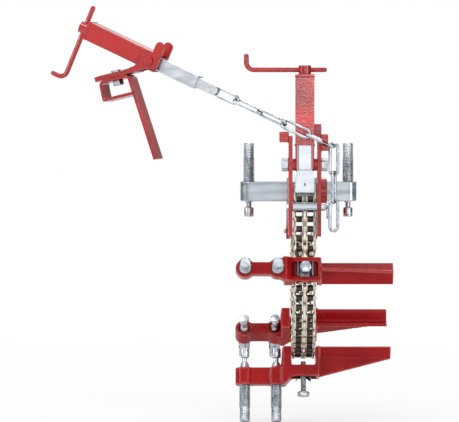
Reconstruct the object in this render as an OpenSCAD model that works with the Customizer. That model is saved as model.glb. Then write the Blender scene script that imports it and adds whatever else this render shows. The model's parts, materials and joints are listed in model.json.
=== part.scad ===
// Pipe alignment clamp with a double roller chain, three jack bars and an elbow puller.
// Lengths are in millimetres. The origin lies on the pipe's axis, in the plane of the chain.
// X runs along the pipe, Z is up, and the operator stands on the side of -Y.

/* [Pipe] */
// Outside diameter of the pipe that the clamp grips
pipe_d = 219.1; // [217:0.1:221]
// Gap between the pipe's wall and what rests on it
pipe_gap = 0.3; // [0.1:0.1:0.6]

/* [Chain] */
// Pitch of the double roller chain
chain_pitch = 15.875; // [15.4:0.005:16.2]
// Distance between the two strands
strand_pitch = 18.11; // [17.8:0.01:18.6]
// Diameter of a roller
roller_d = 10.16; // [9:0.02:11]
// Length of a roller
roller_w = 9.2; // [8.6:0.1:9.4]
// Diameter of a chain pin
chain_pin_d = 5; // [4.4:0.1:5.4]
// Length of a chain pin
chain_pin_len = 38; // [37:0.1:38.6]
// Thickness of a chain plate
plate_t = 2; // [1.8:0.05:2.1]
// Height of a chain plate
plate_h = 15; // [13:0.1:15.2]
// Links round the pipe, an odd number
arc_links = 29; // [27:2:29]
// Links in the straight strand, an even number
strand_links = 10; // [10]

/* [Frame] */
// Inside width between the two side plates
frame_gap = 40; // [39.5:0.1:42]
// Thickness of a side plate
side_t = 6; // [5:0.5:8]
// Height of the puller's pivot above the pipe's axis
pivot_z = 199; // [197:0.5:201]
// Diameter of the pivot studs
pivot_d = 12; // [10:0.5:14]
// Diameter of the keeper roller
keeper_d = 14; // [12:0.5:15]
// Height of the keeper roller above the pipe's axis
keeper_z = 131; // [128:0.5:134]
// Diameter of the keeper pin
keeper_pin_d = 5; // [4:0.1:6]

/* [Level bar] */
// Height of the level bar's section
level_h = 32; // [28:0.5:34]
// Depth of the level bar's section
level_w = 28; // [26:0.5:30]
// Distance from the pipe's wall to the level bar
level_stand = 26; // [25:0.5:30]
// Distance from the chain's plane to the screw past the joint
level_left = 89; // [84:1:95]
// Distance from the chain's plane to the other screw
level_right = 74; // [70:1:80]

/* [Jack screws] */
// Diameter of a jack screw
screw_d = 19.05; // [18:0.05:20]
// Length of a jack screw's shank
screw_len = 89; // [86:1:96]
// Radial clearance of a screw in its hole
screw_gap = 0.1; // [0.05:0.01:0.1]
// Diameter of a swivel pad
pad_d = 15.4; // [14:0.1:17]
// Height of a swivel pad
pad_h = 16; // [14:0.5:17]
// Diameter of the neck in the pad
neck_d = 8; // [7:0.1:9]
// Length of the drive end
drive_len = 24; // [20:1:28]

/* [Jack bars] */
// Turn of the front bar round the pipe, from the top
front_turn = 78; // [77:1:80]
// Turn of the bottom bar
bottom_turn = 165; // [155:1:175]
// Turn of the back bar
back_turn = 234; // [225:1:245]
// Width of a bar's box
box_w = 39; // [37:0.5:41]
// Half length of a bar's box along the pipe
box_half = 26; // [25:0.5:28]
// Distance from the pipe's wall to the arm
arm_stand = 32.5; // [32:0.5:34]
// Thickness of the arm
arm_h = 28.5; // [26:0.5:30]
// Distance from the chain's plane to the outer jack screw
arm_far = 96; // [93:1:99]
// Distance from the chain's plane to the inner jack screw
arm_near = 44.5; // [43:0.5:46]
// Radius of the boss round a jack screw
boss_r = 15.3; // [14:0.1:16]
// Length of the tail past the box
tail_len = 117; // [100:1:130]
// Leg of the tail's angle iron, across its outside
tail_leg = 27; // [25:0.5:29]
// Thickness of the tail's angle iron
tail_t = 4; // [3:0.5:5]
// Diameter of the set bolt
bolt_d = 9.5; // [8:0.1:10]
// Size of the set bolt's head across flats
bolt_af = 17; // [15:0.5:18]

/* [Puller] */
// Width of the puller's square tube
tube_w = 30; // [28:0.5:32]
// Wall of the square tube
tube_wall = 3; // [2:0.25:3.5]
// Length of the square tube over the chain
tube_len = 110; // [105:1:115]
// Width of the square draw bar
draw_w = 22; // [21:0.1:23]
// Diameter of the hand screw
hand_d = 12; // [10:0.5:13]
// Diameter of the bent handle's rod
rod_d = 8; // [7:0.1:9]
// Length of the handle's straight leg
handle_len = 130; // [118:1:140]
// Part of the handle past the screw on the short side
handle_short = 36; // [30:1:40]
// Height of the handle's bent end
handle_up = 26; // [20:1:32]

/* [Elbow puller] */
// Slope of the elbow puller
pull_slope = 24; // [22:0.5:26]
// Angle of the elbow puller to the pipe, seen from above
pull_yaw = 20; // [18:0.5:22]
// Length of the elbow puller's square tube
pull_tube_len = 132; // [126:1:140]
// Part of the elbow puller's handle past the screw on the short side
pull_short = 40; // [34:1:42]
// Inside length of a welded link
link_in = 45; // [44:0.5:46]
// Diameter of a link's wire
wire_d = 5; // [4:0.1:5.4]
// Inside width of a link
link_gap = 8; // [7.8:0.1:9]
// Links between the draw bar and the frame's hook
link_count = 5; // [5]
// Loose links that hang from the hook
tail_count = 3; // [3]
// Angle between the elbow puller's tube and its arm
arm_fold = 37; // [34:0.5:40]
// Length of the arm from its pivot
pull_arm_len = 104; // [102:1:110]
// Thickness of the elbow hook's strip
strip_t = 5; // [4:0.5:6]
// Width of the elbow hook's strip
strip_w = 32; // [28:1:36]
// Length of the elbow hook's top run
hook_run = 56; // [54:1:60]
// Length of the elbow hook's long leg
leg_len = 138; // [120:1:150]
// Length of the elbow hook's short leg
leg_short = 33; // [31:1:38]

/* [Hidden] */
$fn = 48;
cut = 1;
pipe_r = pipe_d / 2;
rest_r = pipe_r + pipe_gap;

// Colours
red = [0.72, 0.06, 0.08];
zinc = [0.74, 0.76, 0.78];
steel = [0.62, 0.60, 0.55];

// Chain
chain_r = rest_r + pipe_gap + plate_h / 2;
link_turn = 2 * asin(chain_pitch / 2 / chain_r);
pin_count = strand_links + arc_links + 1;
pin_play = 0.05;
plate_play = 0.1;
inner_x = roller_w / 2 + plate_play;
outer_x = strand_pitch / 2 + inner_x + plate_t + plate_play;
middle_t = strand_pitch - 2 * (inner_x + plate_t + plate_play);
waist_share = 0.76;

// A pin's angle round the pipe from the top, and its place; the first ones climb the strand
function pin_turn(i) = 90 + max(i - strand_links, 0) * link_turn;
function pin_y(i) = -chain_r * sin(pin_turn(i));
function pin_z(i) = i < strand_links ? (strand_links - i) * chain_pitch : chain_r * cos(pin_turn(i));
function run_angle(i) = atan2(pin_z(i) - pin_z(i + 1), pin_y(i) - pin_y(i + 1));

module along_x(len, d) {
    rotate([0, 90, 0]) cylinder(h = len, d = d, center = true);
}

module link_outline() {
    difference() {
        union() {
            for (end = [0, -chain_pitch]) translate([end, 0]) circle(d = plate_h);
            translate([-chain_pitch, -plate_h * waist_share / 2])
                square([chain_pitch, plate_h * waist_share]);
        }
        for (end = [0, -chain_pitch]) translate([end, 0]) circle(d = chain_pin_d + 2 * pin_play);
    }
}

// One plate of link i, from x on, in the plane across the pipe
module chain_plate(i, x, t) {
    translate([x, pin_y(i), pin_z(i)])
        rotate([run_angle(i), 0, 0])
            rotate([90, 0, 90]) linear_extrude(t) link_outline();
}

module chain_outer_plates() {
    color(steel)
        for (i = [0:2:pin_count - 2]) {
            chain_plate(i, outer_x, plate_t);
            chain_plate(i, -outer_x - plate_t, plate_t);
            if (i > 0) chain_plate(i, -middle_t / 2, middle_t);
        }
}

module chain_inner_plates() {
    color(steel)
        for (i = [1:2:pin_count - 2], side = [-1, 1]) {
            chain_plate(i, side * strand_pitch / 2 + inner_x, plate_t);
            chain_plate(i, side * strand_pitch / 2 - inner_x - plate_t, plate_t);
        }
}

module chain_rollers() {
    color(steel)
        for (i = [1:pin_count - 2], side = [-1, 1])
            translate([side * strand_pitch / 2, pin_y(i), pin_z(i)])
                difference() {
                    along_x(roller_w, roller_d);
                    along_x(roller_w + cut, chain_pin_d + 2 * pin_play);
                }
}

module chain_pins() {
    color(steel)
        for (i = [0:pin_count - 2])
            translate([0, pin_y(i), pin_z(i)]) along_x(chain_pin_len, chain_pin_d);
}

// Frame: two side plates over the pipe, outlined in the plane across it
anchor = pin_count - 1;
head_t = 4;
anchor_head_d = 9;
frame_half = frame_gap / 2;
frame_out = frame_half + side_t;
plate_front = 13.5;
front_y = -chain_r - plate_h / 2 - plate_front;
plate_rise = 46;
plate_top = pivot_z + plate_rise;
plate_foot = 84;
rear_boss_r = 14;
rear_share = 0.8;
level_bottom = pipe_r + level_stand;
level_top = level_bottom + level_h;
level_play = 0.1;
window_rim = 5;
neck_back = 34;
shoulder_z = 178;
rear_y = 38;

module side_outline() {
    difference() {
        polygon([
            [front_y, plate_foot], [front_y, plate_top], [front_y + neck_back, plate_top],
            [front_y + neck_back + window_rim, shoulder_z],
            [-level_w / 2 - window_rim, level_top + window_rim],
            [rear_y, level_top + window_rim],
            [pin_y(anchor) + rear_boss_r * rear_share, pin_z(anchor) + rear_boss_r / 2],
            [pin_y(anchor), pin_z(anchor) - cut], [0, plate_foot]
        ]);
        translate([-level_w / 2 - level_play, level_bottom - level_play])
            square([level_w + 2 * level_play, level_h + 2 * level_play]);
        translate([-chain_r, pivot_z]) circle(d = pivot_d + 2 * pin_play);
        translate([keeper_y, keeper_z]) circle(d = keeper_pin_d + 2 * pin_play);
        translate([spacer_y, spacer_z]) circle(d = spacer_d + 2 * pin_play);
    }
}

module side_plate(x) {
    color(red)
        translate([x, 0, 0])
            rotate([90, 0, 90])
                difference() {
                    union() {
                        linear_extrude(side_t) side_outline();
                        translate([pin_y(anchor), pin_z(anchor), 0]) cylinder(h = side_t, r = rear_boss_r);
                    }
                    translate([0, 0, -cut]) cylinder(h = side_t + 2 * cut, r = rest_r, $fn = 96);
                    translate([pin_y(anchor), pin_z(anchor), -cut])
                        cylinder(h = side_t + 2 * cut, d = chain_pin_d + 2 * pin_play);
                }
}

module side_plate_left() {
    side_plate(-frame_out);
}

module side_plate_right() {
    side_plate(frame_half);
}

module chain_anchor_pin() {
    color(zinc)
        translate([0, pin_y(anchor), pin_z(anchor)]) {
            along_x(2 * frame_out + 2 * pin_play, chain_pin_d);
            for (side = [-1, 1])
                translate([side * (frame_out + head_t / 2 + pin_play), 0, 0]) along_x(head_t, anchor_head_d);
        }
}

// Cross spacer that ties the plates together behind the level bar
spacer_d = 10;
spacer_tube_d = 16;
spacer_out = 2;
spacer_up = 4;
spacer_y = rear_y + spacer_out;
spacer_z = level_bottom + spacer_up;

module frame_spacer() {
    color(red)
        translate([0, spacer_y, spacer_z]) {
            along_x(frame_gap - 2 * pin_play, spacer_tube_d);
            along_x(2 * frame_out, spacer_d);
        }
}

// Lug on the right plate with a slot that holds the welded chain, and a plain one on the left
lug_w = 10;
lug_h = 26;
lug_reach = 33;
lug_foot = 21;
lug_front = front_y - lug_reach;
lug_back = front_y + lug_foot;
slot_play = 0.5;
slot_in = 10;
blank_w = 15;
blank_d = 20;
blank_h = 17;
blank_drop = 10;
brace_h = 19;
hook_block_gap = 0.5;
// The middle of the slotted lug, where the welded chain's line starts
hook_out = 20;
hook_drop = 10;
hook_x = frame_out + lug_w / 2;
hook_y = front_y - hook_out;
hook_z = plate_top - hook_drop;

module link_hook() {
    color(red)
        difference() {
            union() {
                translate([frame_out, lug_front, hook_z - lug_h / 2])
                    cube([lug_w, lug_back - lug_front, lug_h]);
                translate([tube_w / 2 + hook_block_gap, lug_back - blank_d / 2, plate_top])
                    cube([frame_out - tube_w / 2, blank_d, brace_h]);
            }
            along_pull()
                translate([-wire_d / 2 - slot_play, -2 * lug_h, -2 * lug_h])
                    cube([wire_d + 2 * slot_play, 2 * lug_h + slot_in, 4 * lug_h]);
        }
}

module blank_lug() {
    color(red)
        translate([-frame_out - blank_w, front_y + cut, plate_top - blank_drop])
            cube([blank_w, blank_d, blank_h]);
}

// Stub pivots of the screw housing, one in each plate
stud_head_d = 23;
stud_head_t = 11;
bush_d = 20;
fork_in = tube_w / 2 - tube_wall;

module pivot_studs() {
    color(zinc)
        for (side = [-1, 1])
            translate([0, -chain_r, pivot_z]) {
                translate([side * (fork_in + frame_out) / 2, 0, 0]) along_x(frame_out - fork_in, pivot_d);
                translate([side * (frame_out + stud_head_t / 2), 0, 0])
                    rotate([0, 90, 0]) cylinder(h = stud_head_t, d = stud_head_d, center = true, $fn = 6);
            }
}

module pivot_bushes() {
    color(red)
        for (side = [-1, 1])
            translate([side * (tube_w / 2 + frame_half) / 2, -chain_r, pivot_z])
                difference() {
                    along_x(frame_half - tube_w / 2 - 2 * pin_play, bush_d);
                    along_x(frame_gap, pivot_d + 2 * pin_play);
                }
}

// Square tube that holds the hand screw; its fork runs down to the pivot studs
tube_rise = 31;
tube_bottom = pivot_z + tube_rise;
tube_top = tube_bottom + tube_len;
fork_r = 11;
cap_t = 4;
hand_play = 0.1;

module square_tube(len) {
    difference() {
        translate([-tube_w / 2, -tube_w / 2, 0]) cube([tube_w, tube_w, len]);
        translate([-tube_w / 2 + tube_wall, -tube_w / 2 + tube_wall, -cut])
            cube([tube_w - 2 * tube_wall, tube_w - 2 * tube_wall, len + 2 * cut]);
    }
}

module screw_housing() {
    color(red)
        translate([0, -chain_r, 0]) {
            translate([0, 0, tube_bottom]) square_tube(tube_len);
            for (side = [-1, 1])
                translate([side * (tube_w - tube_wall) / 2 - tube_wall / 2, 0, 0])
                    rotate([90, 0, 90])
                        linear_extrude(tube_wall)
                            difference() {
                                union() {
                                    translate([0, pivot_z]) circle(r = fork_r);
                                    translate([-fork_r, pivot_z])
                                        square([2 * fork_r, tube_bottom - pivot_z + cut]);
                                }
                                translate([0, pivot_z]) circle(d = pivot_d);
                            }
        }
}

module square_cap() {
    difference() {
        translate([-tube_w / 2, -tube_w / 2, 0]) cube([tube_w, tube_w, cap_t]);
        translate([0, 0, -cut]) cylinder(h = cap_t + 2 * cut, d = hand_d + 2 * hand_play);
    }
}

module housing_cap() {
    color(red) translate([0, -chain_r, tube_top]) square_cap();
}

// Hand screw, from its place in the draw bar up to the lever's boss
thrust_h = 5;
thrust_d = 20;
boss_h = 14;
screw_reach = 60;
lever_rise = cap_t + hand_play + boss_h / 2;

module screw_body(len) {
    difference() {
        union() {
            translate([0, 0, len - screw_reach]) cylinder(h = screw_reach, d = hand_d);
            translate([0, 0, len - hand_play - thrust_h]) cylinder(h = thrust_h, d = thrust_d);
            translate([0, 0, len]) cylinder(h = cap_t + hand_play, d = hand_d);
            translate([0, 0, len + cap_t + hand_play]) cylinder(h = boss_h, d = thrust_d);
        }
        translate([0, 0, len + lever_rise]) along_x(thrust_d + cut, rod_d + 2 * hand_play);
    }
}

module hand_screw() {
    color(red) translate([0, -chain_r, tube_bottom]) screw_body(tube_len);
}

// Bent rod handle: a long leg, a bend and a short upright end
bend_r = 12;

module bent_rod(short) {
    translate([short, 0, 0]) rotate([0, -90, 0]) cylinder(h = handle_len - bend_r, d = rod_d);
    translate([short - handle_len + bend_r, 0, bend_r])
        rotate([90, 180, 0]) rotate_extrude(angle = 90, $fn = 64) translate([bend_r, 0]) circle(d = rod_d);
    translate([short - handle_len, 0, bend_r]) cylinder(h = handle_up - bend_r, d = rod_d);
}

module hand_lever() {
    color(red) translate([0, -chain_r, tube_top + lever_rise]) bent_rod(handle_short);
}

// Square draw bar, bored for the hand screw
draw_bore_play = 0.1;
lost_motion = 3.5;
block_play = 0.3;
block_foot = pin_z(1) + plate_h / 2 + lost_motion + block_play;
block_h = 22;
block_top = block_foot + block_h;
block_taper = 14;
block_w = 31;
block_d = 16;
draw_foot = block_top + block_taper;

module draw_section(len) {
    difference() {
        translate([-draw_w / 2, -draw_w / 2, 0]) cube([draw_w, draw_w, len]);
        translate([0, 0, len - screw_reach])
            cylinder(h = screw_reach + cut, d = hand_d + 2 * draw_bore_play);
    }
}

bar_back = 14;
draw_top = tube_top - hand_play - thrust_h - bar_back;

module draw_bar() {
    color(zinc) translate([0, -chain_r, draw_foot]) draw_section(draw_top - draw_foot);
}

// Block with a slotted hole for the chain's first pin
module chain_block() {
    color(zinc)
        translate([0, -chain_r, 0])
            difference() {
                translate([0, block_d / 2, 0])
                    rotate([90, 0, 0])
                        linear_extrude(block_d)
                            polygon([
                                [-block_w / 2, block_foot], [block_w / 2, block_foot],
                                [block_w / 2, block_top],
                                [draw_w / 2, draw_foot], [-draw_w / 2, draw_foot], [-block_w / 2, block_top]
                            ]);
                for (rise = [0, lost_motion])
                    translate([0, 0, pin_z(0) + rise]) along_x(block_w + cut, chain_pin_d + 2 * pin_play);
                translate([-block_w, -chain_pin_d / 2 - pin_play, pin_z(0)])
                    cube([2 * block_w, chain_pin_d + 2 * pin_play, lost_motion]);
            }
}

// Keeper: a roller in front of the chain, on a pin with a pull ring
keeper_gap = 0.6;
keeper_y = -chain_r - plate_h / 2 - keeper_d / 2 - keeper_gap;
keeper_play = 0.1;
keeper_head_d = 12;
keeper_end_d = 10;
keeper_knob_d = 9;
keeper_head_t = 7;
ring_r = 9;
ring_wire = 2.4;
keeper_knob = 6;
ring_x = frame_out + keeper_head_t + keeper_knob / 2;

// The pull ring's wire, hanging from the keeper pin's axis
module ring_torus(wire) {
    translate([ring_x, 0, -ring_r])
        rotate([0, 90, 0]) rotate_extrude($fn = 48) translate([ring_r, 0]) circle(d = wire, $fn = 24);
}

module keeper_roller() {
    color(zinc)
        translate([0, keeper_y, keeper_z])
            difference() {
                along_x(frame_gap - 4 * keeper_play, keeper_d);
                along_x(frame_gap, keeper_pin_d + 2 * keeper_play);
            }
}

module keeper_pin() {
    color(zinc)
        translate([0, keeper_y, keeper_z])
            difference() {
                union() {
                    along_x(2 * frame_out + 2 * pin_play, keeper_pin_d);
                    translate([-frame_out - head_t / 2, 0, 0]) along_x(head_t, keeper_end_d);
                    translate([frame_out + keeper_head_t / 2, 0, 0]) along_x(keeper_head_t, keeper_head_d);
                    translate([ring_x, 0, 0]) along_x(keeper_knob, keeper_knob_d);
                }
                ring_torus(ring_wire + 6 * pin_play);
            }
}

module keeper_ring() {
    color(zinc)
        translate([0, keeper_y, keeper_z]) ring_torus(ring_wire);
}

// Level bar over the pipe, with a screw at each end
module level_bar() {
    color(zinc)
        translate([0, 0, level_bottom])
            linear_extrude(level_h)
                difference() {
                    union() {
                        translate([-level_left, -level_w / 2]) square([level_left + level_right, level_w]);
                        for (x = [-level_left, level_right]) translate([x, 0]) circle(d = level_w);
                    }
                    for (x = [-level_left, level_right])
                        translate([x, 0]) circle(d = screw_d + 2 * screw_gap);
                }
}

collar_len = 13;
collar_rim = 7;

module level_collar() {
    color(red)
        translate([frame_out + pin_play, 0, level_bottom + level_h / 2])
            rotate([90, 0, 90])
                linear_extrude(collar_len)
                    difference() {
                        circle(r = level_h / 2 + collar_rim);
                        translate([-level_w / 2 - level_play, -level_h / 2 - level_play])
                            square([level_w + 2 * level_play, level_h + 2 * level_play]);
                    }
}

// Jack screw and its swivel pad, with the pipe's axis at z = 0 and z pointing outwards
cone_h = 9;
neck_len = 7;
neck_in = 9;
drive_flat = 16.5;
pad_top = rest_r + pad_h;
cone_r = pad_top + neck_len;
shank_r = cone_r + cone_h;
chamfer = 1.5;

module jack_screw() {
    color(zinc) {
        translate([0, 0, pad_top - neck_in + pipe_gap]) cylinder(h = cone_r - pad_top + neck_in, d = neck_d);
        translate([0, 0, cone_r]) cylinder(h = cone_h, d1 = neck_d + 2 * chamfer, d2 = screw_d);
        translate([0, 0, shank_r]) cylinder(h = screw_len - drive_len, d = screw_d);
        translate([0, 0, shank_r + screw_len - drive_len])
            intersection() {
                union() {
                    cylinder(h = drive_len - chamfer, d = screw_d);
                    translate([0, 0, drive_len - chamfer])
                        cylinder(h = chamfer, d1 = screw_d, d2 = screw_d - 2 * chamfer);
                }
                translate([-drive_flat / 2, -drive_flat / 2, 0]) cube([drive_flat, drive_flat, drive_len]);
            }
    }
}

module swivel_pad() {
    color(zinc)
        difference() {
            union() {
                translate([0, 0, rest_r]) cylinder(h = pad_h - chamfer, d = pad_d);
                translate([0, 0, pad_top - chamfer])
                    cylinder(h = chamfer, d1 = pad_d, d2 = pad_d - 2 * chamfer);
            }
            translate([0, 0, pad_top - neck_in]) cylinder(h = neck_in + cut, d = neck_d + 2 * screw_gap);
        }
}

module level_screw_left() {
    translate([-level_left, 0, 0]) jack_screw();
}

module level_pad_left() {
    translate([-level_left, 0, 0]) swivel_pad();
}

module level_screw_right() {
    translate([level_right, 0, 0]) jack_screw();
}

module level_pad_right() {
    translate([level_right, 0, 0]) swivel_pad();
}

// Jack bar, with the pipe's axis at z = 0 and z pointing outwards
arm_in = pipe_r + arm_stand;
roof_drop = 3;
box_h = 18.5;
bolt_reach = 8;
tail_sink = 2.2;
arm_out = arm_in + arm_h;
roof_in = arm_in - roof_drop;
roof_t = 8;
box_out = roof_in + box_h;
cheek_t = 7.5;
chain_side = 0.6;
slot_half = chain_pin_len / 2 + chain_side;
arm_neck = 20;
box_foot = rest_r - box_w / 4;
tail_tip = rest_r - tail_sink;
tail_ridge = tail_tip + tail_leg / sqrt(2);
rib_t = 5;
brace_x = 8;
brace_w = 26;
pocket_half = 20.5;

// The bar's box seen from the side, along the pipe and outwards from it
module box_profile() {
    difference() {
        polygon([
            [-box_half - brace_x, box_foot], [box_half, box_foot], [box_half, box_out],
            [-box_half + brace_x, box_out], [-box_half - brace_x / 2, arm_out],
            [-box_half - brace_x, arm_out]
        ]);
        translate([-slot_half, 0]) square([2 * slot_half, roof_in]);
    }
}

// The brace from the arm down to the box's foot
module brace_profile() {
    polygon([
        [-arm_near - brace_x, arm_in + cut], [-arm_near - brace_x, arm_in],
        [-arm_near + brace_x, arm_in - brace_x / 2], [-box_half - brace_x, box_foot],
        [-box_half - brace_x + cut, box_foot], [-box_half - brace_x + cut, arm_in + cut]
    ]);
}

module jack_bar() {
    color(red)
        difference() {
            union() {
                translate([0, box_w / 2, 0]) rotate([90, 0, 0]) linear_extrude(box_w) box_profile();
                translate([0, brace_w / 2, 0]) rotate([90, 0, 0]) linear_extrude(brace_w) brace_profile();
                translate([0, 0, arm_in])
                    linear_extrude(arm_h)
                        union() {
                            for (x = [-arm_far, -arm_near]) translate([x, 0]) circle(r = boss_r);
                            translate([-arm_far, -arm_neck / 2]) square([arm_far - arm_near, arm_neck]);
                            polygon([
                                [-arm_near, -brace_w / 2], [-box_half - brace_x + cut, -box_w / 2],
                                [-box_half - brace_x + cut, box_w / 2], [-arm_near, brace_w / 2]
                            ]);
                        }
                translate([box_half - cut, 0, 0])
                    rotate([90, 0, 90])
                        linear_extrude(tail_len + cut)
                            polygon([
                                [-tail_leg / sqrt(2), tail_tip], [0, tail_ridge],
                                [tail_leg / sqrt(2), tail_tip],
                                [tail_leg / sqrt(2) - tail_t * sqrt(2), tail_tip],
                                [0, tail_ridge - tail_t * sqrt(2)],
                                [-tail_leg / sqrt(2) + tail_t * sqrt(2), tail_tip]
                            ]);
                translate([0, rib_t / 2, 0])
                    rotate([90, 0, 0])
                        linear_extrude(rib_t)
                            polygon([
                                [box_half - cut, tail_ridge - tail_t], [box_half - cut, box_out],
                                [box_half + tail_len, tail_ridge], [box_half + tail_len, tail_ridge - tail_t]
                            ]);
            }
            rotate([0, 90, 0]) cylinder(h = 4 * pipe_d, r = rest_r, center = true, $fn = 96);
            for (x = [-arm_far, -arm_near])
                translate([x, 0, arm_in - arm_h]) cylinder(h = 3 * arm_h, d = screw_d + 2 * screw_gap);
            translate([-pocket_half, -box_w / 2 + cheek_t, roof_in + roof_t])
                cube([2 * pocket_half, box_w - 2 * cheek_t, arm_h]);
            translate([0, 0, roof_in - cut]) cylinder(h = roof_t + 2 * cut, d = bolt_d + 2 * screw_gap);
        }
}

// Set bolt that pinches the chain under the bar's roof
bolt_tip = roof_in - bolt_reach;
bolt_len = 50;
bolt_head_h = 8;

module set_bolt() {
    color(zinc)
        translate([0, 0, bolt_tip]) {
            cylinder(h = bolt_len, d = bolt_d);
            translate([0, 0, bolt_len]) cylinder(h = bolt_head_h, d = bolt_af / cos(30), $fn = 6);
        }
}

// Spring clip in the bar's pocket, with two flared wings
clip_t = 1.5;
clip_half = 9;
clip_w = 22;
clip_h = 15;
clip_flare = 14;

module spring_clip() {
    color(zinc)
        translate([0, 0, roof_in + roof_t + pin_play]) {
            difference() {
                translate([-clip_half, -clip_w / 2, 0]) cube([2 * clip_half, clip_w, clip_t]);
                translate([0, 0, -cut]) cylinder(h = clip_t + 2 * cut, d = bolt_d + 10 * screw_gap);
            }
            for (side = [-1, 1])
                translate([side * (clip_half - clip_t / 2), 0, clip_t / 2])
                    rotate([0, side * clip_flare, 0])
                        translate([-clip_t / 2, -clip_w / 2, 0]) cube([clip_t, clip_w, clip_h]);
        }
}

module at_front() {
    rotate([front_turn, 0, 0]) children();
}

module at_bottom() {
    rotate([bottom_turn, 0, 0]) children();
}

module at_back() {
    rotate([back_turn, 0, 0]) children();
}

module at_far() {
    translate([-arm_far, 0, 0]) children();
}

module at_near() {
    translate([-arm_near, 0, 0]) children();
}

module front_bar() {
    at_front() jack_bar();
}

module front_screw_far() {
    at_front() at_far() jack_screw();
}

module front_pad_far() {
    at_front() at_far() swivel_pad();
}

module front_screw_near() {
    at_front() at_near() jack_screw();
}

module front_pad_near() {
    at_front() at_near() swivel_pad();
}

module front_bolt() {
    at_front() set_bolt();
}

module front_clip() {
    at_front() spring_clip();
}

module bottom_bar() {
    at_bottom() jack_bar();
}

module bottom_screw_far() {
    at_bottom() at_far() jack_screw();
}

module bottom_pad_far() {
    at_bottom() at_far() swivel_pad();
}

module bottom_screw_near() {
    at_bottom() at_near() jack_screw();
}

module bottom_pad_near() {
    at_bottom() at_near() swivel_pad();
}

module bottom_bolt() {
    at_bottom() set_bolt();
}

module bottom_clip() {
    at_bottom() spring_clip();
}

module back_bar() {
    at_back() jack_bar();
}

module back_screw_far() {
    at_back() at_far() jack_screw();
}

module back_pad_far() {
    at_back() at_far() swivel_pad();
}

module back_screw_near() {
    at_back() at_near() jack_screw();
}

module back_pad_near() {
    at_back() at_near() swivel_pad();
}

module back_bolt() {
    at_back() set_bolt();
}

module back_clip() {
    at_back() spring_clip();
}

// Elbow puller: z runs along it from the frame's hook to its lever
module along_pull() {
    translate([hook_x, hook_y, hook_z]) rotate([0, pull_slope, -pull_yaw]) rotate([0, -90, 0]) children();
}

link_play = 0.4;
link_step = link_in - link_play;
link_twist = 112.5;
chain_start = -14;
chain_end = chain_start + (link_count - 1) * link_step + link_in;
clevis_w = 16;
clevis_cheek = 5;
clevis_play = 1.2;
clevis_rim = 1.5;
clevis_len = 20;
clevis_slot = wire_d + clevis_play;
clevis_pin_d = 6;
clevis_pin_at = chain_end - link_play - clevis_pin_d / 2;
clevis_solid = chain_end + wire_d + clevis_rim;
pull_bar_start = clevis_solid + clevis_len;
bar_show = 74;
pull_tube_start = pull_bar_start + bar_show;
pull_tube_end = pull_tube_start + pull_tube_len;
bow_r = (link_gap + wire_d) / 2;

// One welded link standing on z = 0, where its inside starts
module welded_link() {
    for (side = [-1, 1])
        translate([side * bow_r, 0, bow_r - wire_d / 2])
            cylinder(h = link_in - link_gap, d = wire_d, $fn = 24);
    for (end = [0, 1])
        translate([0, 0, end == 0 ? bow_r - wire_d / 2 : link_in - bow_r + wire_d / 2])
            rotate([90, end == 0 ? 180 : 0, 0])
                rotate_extrude(angle = 180, $fn = 48) translate([bow_r, 0]) circle(d = wire_d, $fn = 24);
}

module pull_links() {
    color(zinc)
        along_pull()
            for (i = [0:link_count - 1])
                translate([0, 0, chain_start + i * link_step])
                    rotate([0, 0, 90 + i * link_twist]) welded_link();
}

// A point of the puller's line, s past the middle of the hook
function pull_point(s) = [
    hook_x - cos(pull_slope) * cos(pull_yaw) * s, hook_y + cos(pull_slope) * sin(pull_yaw) * s,
    hook_z + sin(pull_slope) * s
];

// Tail link i, counted down from the puller's chain
module tail_link(i) {
    translate(pull_point(chain_start - wire_d / 2))
        translate([0, 0, wire_d / 2 + link_play - i * link_step])
            rotate([180, 0, i * 90 - pull_yaw]) welded_link();
}

module tail_links_upper() {
    color(zinc) for (i = [0:tail_count - 2]) tail_link(i);
}

module tail_links_lower() {
    color(zinc) tail_link(tail_count - 1);
}

module elbow_tube() {
    color(red) along_pull() translate([0, 0, pull_tube_start]) square_tube(pull_tube_len);
}

module elbow_cap() {
    color(red) along_pull() translate([0, 0, pull_tube_end]) square_cap();
}

module elbow_screw() {
    color(red) along_pull() translate([0, 0, pull_tube_start]) screw_body(pull_tube_len);
}

module elbow_lever() {
    color(red) along_pull() translate([0, 0, pull_tube_end + lever_rise]) bent_rod(pull_short);
}

// Draw bar with a clevis for the last link
module elbow_draw_bar() {
    color(zinc)
        along_pull() {
            translate([0, 0, pull_bar_start])
                draw_section(bar_show + pull_tube_len - hand_play - thrust_h - bar_back);
            difference() {
                union() {
                    translate([0, 0, clevis_pin_at])
                        rotate([90, 0, 0])
                            cylinder(h = clevis_slot + 2 * clevis_cheek, d = clevis_w, center = true);
                    translate([-clevis_w / 2, -clevis_slot / 2 - clevis_cheek, clevis_pin_at])
                        cube([clevis_w, clevis_slot + 2 * clevis_cheek, pull_bar_start - clevis_pin_at]);
                }
                translate([-clevis_w, -clevis_slot / 2, clevis_pin_at - clevis_w])
                    cube([2 * clevis_w, clevis_slot, clevis_solid - clevis_pin_at + clevis_w]);
            }
            translate([0, 0, clevis_pin_at])
                rotate([90, 0, 0]) cylinder(h = clevis_slot + cut, d = clevis_pin_d, center = true);
        }
}

// The arm's own frame: z runs along it from its pivot, and x points up from its top face
pivot_in = 12;
arm_pivot = pull_tube_start + pivot_in;

module at_arm() {
    along_pull() translate([0, 0, arm_pivot]) rotate([0, -arm_fold, 0]) children();
}

// Pivot stubs on the tube's sides
stub_d = 10;
stub_head_d = 15;
stub_head_t = 2.5;
stub_play = 0.1;
ear_t = 5;
ear_gap = 0.3;
ear_in = tube_w / 2 + ear_gap;
ear_out = ear_in + ear_t;

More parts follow.
